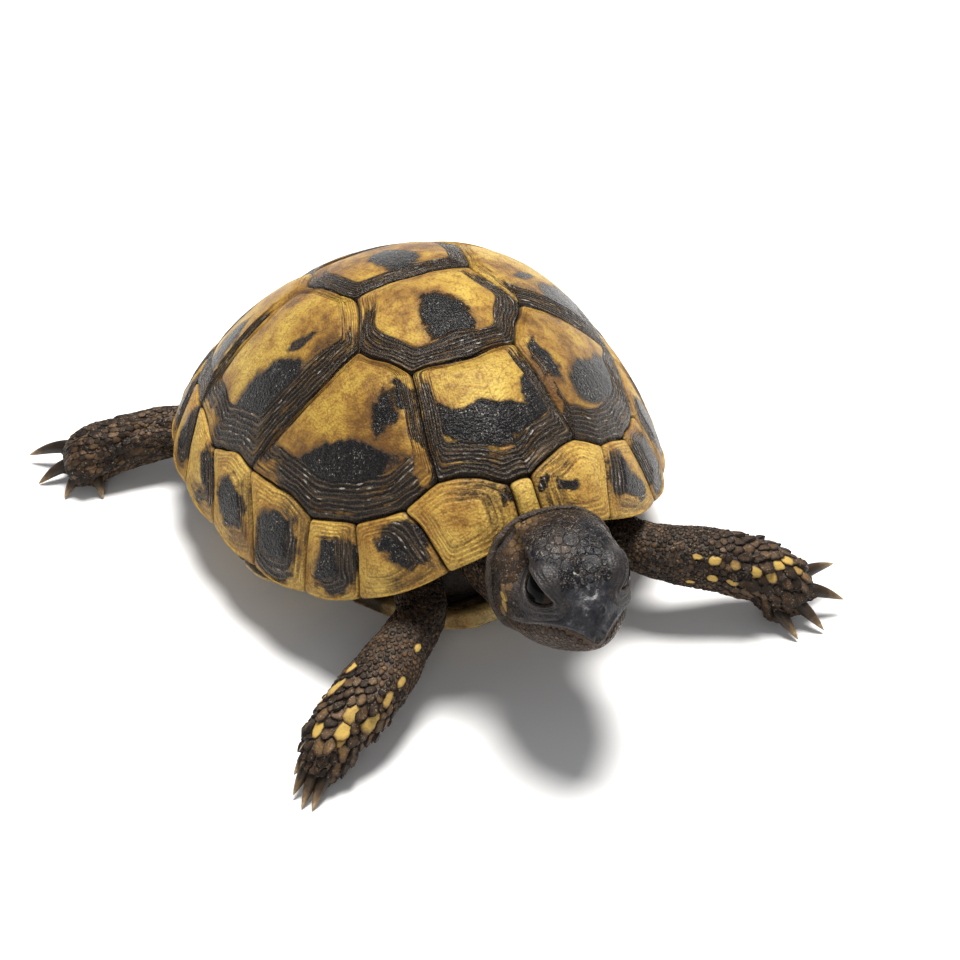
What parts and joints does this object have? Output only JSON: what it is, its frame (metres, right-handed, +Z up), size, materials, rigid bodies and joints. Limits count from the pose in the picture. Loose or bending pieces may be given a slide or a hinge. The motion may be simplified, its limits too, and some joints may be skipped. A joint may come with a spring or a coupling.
{
  "type": "tortoise",
  "caption": "young land tortoise standing with raised head, domed shell of separate yellow and black plates, still life-size museum model",
  "frame": {"origin": "on the floor, under the middle of the animal's plan box", "axes": "+Z up from the floor, head towards -Y, the animal's left side towards +X"},
  "size_m": [0.0624, 0.0664, 0.0276],
  "materials": {
    "shell": "satin horn, ochre with black growth rings and blotches",
    "shell_edge": "satin horn, yellow-ochre with dark wedges",
    "belly": "satin horn, yellow with two dark bands",
    "skin": "scaly dry skin, grey-brown with yellow scales",
    "eye": "wet gloss, near black"
  },
  "bodies": {
    "root": {"abdominal": "belly", "anal": "belly", "costal_1_left": "shell", "costal_1_right": "shell", "costal_2_left": "shell", "costal_2_right": "shell", "costal_3_left": "shell", "costal_3_right": "shell", "costal_4_left": "shell", "costal_4_right": "shell", "eye_left": "eye", "eye_right": "eye", "femoral": "belly", "foot_front_left": "skin", "foot_front_right": "skin", "foot_hind_left": "skin", "foot_hind_right": "skin", "gular": "belly", "head": "skin", "humeral": "belly", "leg_front_left": "skin", "leg_front_right": "skin", "leg_hind_left": "skin", "leg_hind_right": "skin", "lower_jaw": "skin", "marginal_10_left": "shell_edge", "marginal_10_right": "shell_edge", "marginal_11_left": "shell_edge", "marginal_11_right": "shell_edge", "marginal_1_left": "shell_edge", "marginal_1_right": "shell_edge", "marginal_2_left": "shell_edge", "marginal_2_right": "shell_edge", "marginal_3_left": "shell_edge", "marginal_3_right": "shell_edge", "marginal_4_left": "shell_edge", "marginal_4_right": "shell_edge", "marginal_5_left": "shell_edge", "marginal_5_right": "shell_edge", "marginal_6_left": "shell_edge", "marginal_6_right": "shell_edge", "marginal_7_left": "shell_edge", "marginal_7_right": "shell_edge", "marginal_8_left": "shell_edge", "marginal_8_right": "shell_edge", "marginal_9_left": "shell_edge", "marginal_9_right": "shell_edge", "neck": "skin", "nuchal": "shell_edge", "pectoral": "belly", "supracaudal_left": "shell_edge", "supracaudal_right": "shell_edge", "tail": "skin", "trunk": "skin", "vertebral_1": "shell", "vertebral_2": "shell", "vertebral_3": "shell", "vertebral_4": "shell", "vertebral_5": "shell"}
  },
  "joints": []
}
